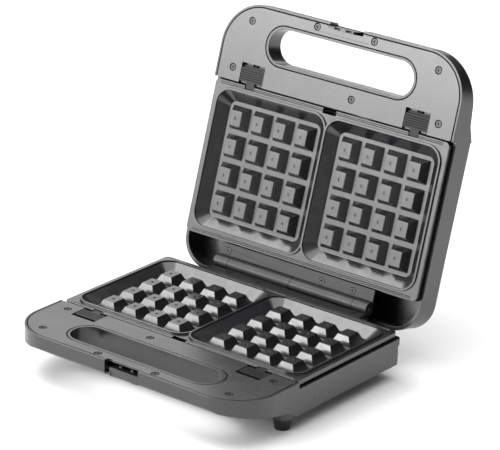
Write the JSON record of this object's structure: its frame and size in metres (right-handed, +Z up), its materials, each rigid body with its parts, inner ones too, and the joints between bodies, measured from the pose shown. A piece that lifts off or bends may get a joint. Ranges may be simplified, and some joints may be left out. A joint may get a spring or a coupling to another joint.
{
  "type": "waffle maker",
  "caption": "Compact two-slice waffle maker with a hinged lid, removable pegged cooking plates, hand holes in both handles and a sliding latch.",
  "frame": {"origin": "on the table, at the middle of the ground that the whole part covers with its lid open", "axes": "+Z up, +X to the right across the body, -Y towards the handle of the base, +Y towards the hinge"},
  "size_m": [0.253, 0.3012, 0.2616],
  "materials": {
    "casing": "satin-gloss dark grey-black moulded plastic",
    "panel": "satin-gloss dark grey-black moulded plastic",
    "button": "fine-grained black moulded plastic",
    "bracket": "fine-grained black moulded plastic",
    "latch": "satin-gloss dark grey moulded plastic",
    "nonstick": "cast aluminium with a dark glossy non-stick coating",
    "steel": "plain bright steel",
    "dark_steel": "blackened steel",
    "sheet": "plain aluminised sheet",
    "element": "heat-dulled steel tube",
    "rubber": "matte black rubber",
    "ceramic": "off-white ceramic",
    "sleeve": "woven glass sleeve",
    "holder": "off-white heat-resistant plastic",
    "red_lens": "clear red plastic",
    "green_lens": "clear green plastic",
    "lamp": "small neon lamp"
  },
  "bodies": {
    "base": {"base_casing": "casing", "base_handle_panel": "panel", "base_panel_screws": "dark_steel", "base_waffle_plate": "nonstick", "base_button_spring_left": "steel", "base_button_spring_right": "steel", "base_reflector": "sheet", "base_heating_element": "element", "base_element_clamps": "steel", "base_thermostat": "steel", "base_hinge_bracket": "bracket", "base_hinge_screws": "dark_steel", "hinge_pin": "steel", "latch_guide_rod": "steel", "foot_pads": "rubber", "foot_screws": "steel", "cord_gland": "rubber", "terminal_block": "ceramic", "thermal_fuse": "ceramic", "base_wiring": "sleeve"},
    "lid": {"lid_casing": "casing", "lid_handle_panel": "panel", "lid_panel_screws": "dark_steel", "lid_waffle_plate": "nonstick", "lid_button_spring_left": "steel", "lid_button_spring_right": "steel", "lid_reflector": "sheet", "lid_heating_element": "element", "lid_element_clamps": "steel", "lid_thermostat": "steel", "lid_hinge_bracket": "bracket", "lid_hinge_screws": "dark_steel", "latch_hook": "latch", "latch_hook_screws": "steel", "lamp_holder": "holder", "indicator_lamps": "lamp", "power_lens": "red_lens", "ready_lens": "green_lens", "lid_wiring": "sleeve"},
    "base_button_left": {"base_release_button_left": "button"},
    "base_button_right": {"base_release_button_right": "button"},
    "lid_button_left": {"lid_release_button_left": "button"},
    "lid_button_right": {"lid_release_button_right": "button"},
    "slider": {"latch_slider": "latch"}
  },
  "joints": [
    {"name": "lid_hinge", "type": "hinge", "parent": "base", "child": "lid", "pos_m": [0, 0.07491, 0.045], "axis": [1, 0, 0], "range_deg": [0, 105.8]},
    {"name": "base_button_left_slide", "type": "slide", "parent": "base", "child": "base_button_left", "axis": [0, -1, 0], "range_m": [0, 0.0035], "stiffness_N_per_m": 350, "springref_m": -0.004, "deforming": ["base_button_spring_left"]},
    {"name": "base_button_right_slide", "type": "slide", "parent": "base", "child": "base_button_right", "axis": [0, -1, 0], "range_m": [0, 0.0035], "stiffness_N_per_m": 350, "springref_m": -0.004, "deforming": ["base_button_spring_right"]},
    {"name": "lid_button_left_slide", "type": "slide", "parent": "lid", "child": "lid_button_left", "axis": [0, 0.2723, 0.9622], "range_m": [0, 0.0035], "stiffness_N_per_m": 350, "springref_m": -0.004, "deforming": ["lid_button_spring_left"]},
    {"name": "lid_button_right_slide", "type": "slide", "parent": "lid", "child": "lid_button_right", "axis": [0, 0.2723, 0.9622], "range_m": [0, 0.0035], "stiffness_N_per_m": 350, "springref_m": -0.004, "deforming": ["lid_button_spring_right"]},
    {"name": "latch_slide", "type": "slide", "parent": "base", "child": "slider", "axis": [-1, 0, 0], "range_m": [0, 0.0045]}
  ]
}
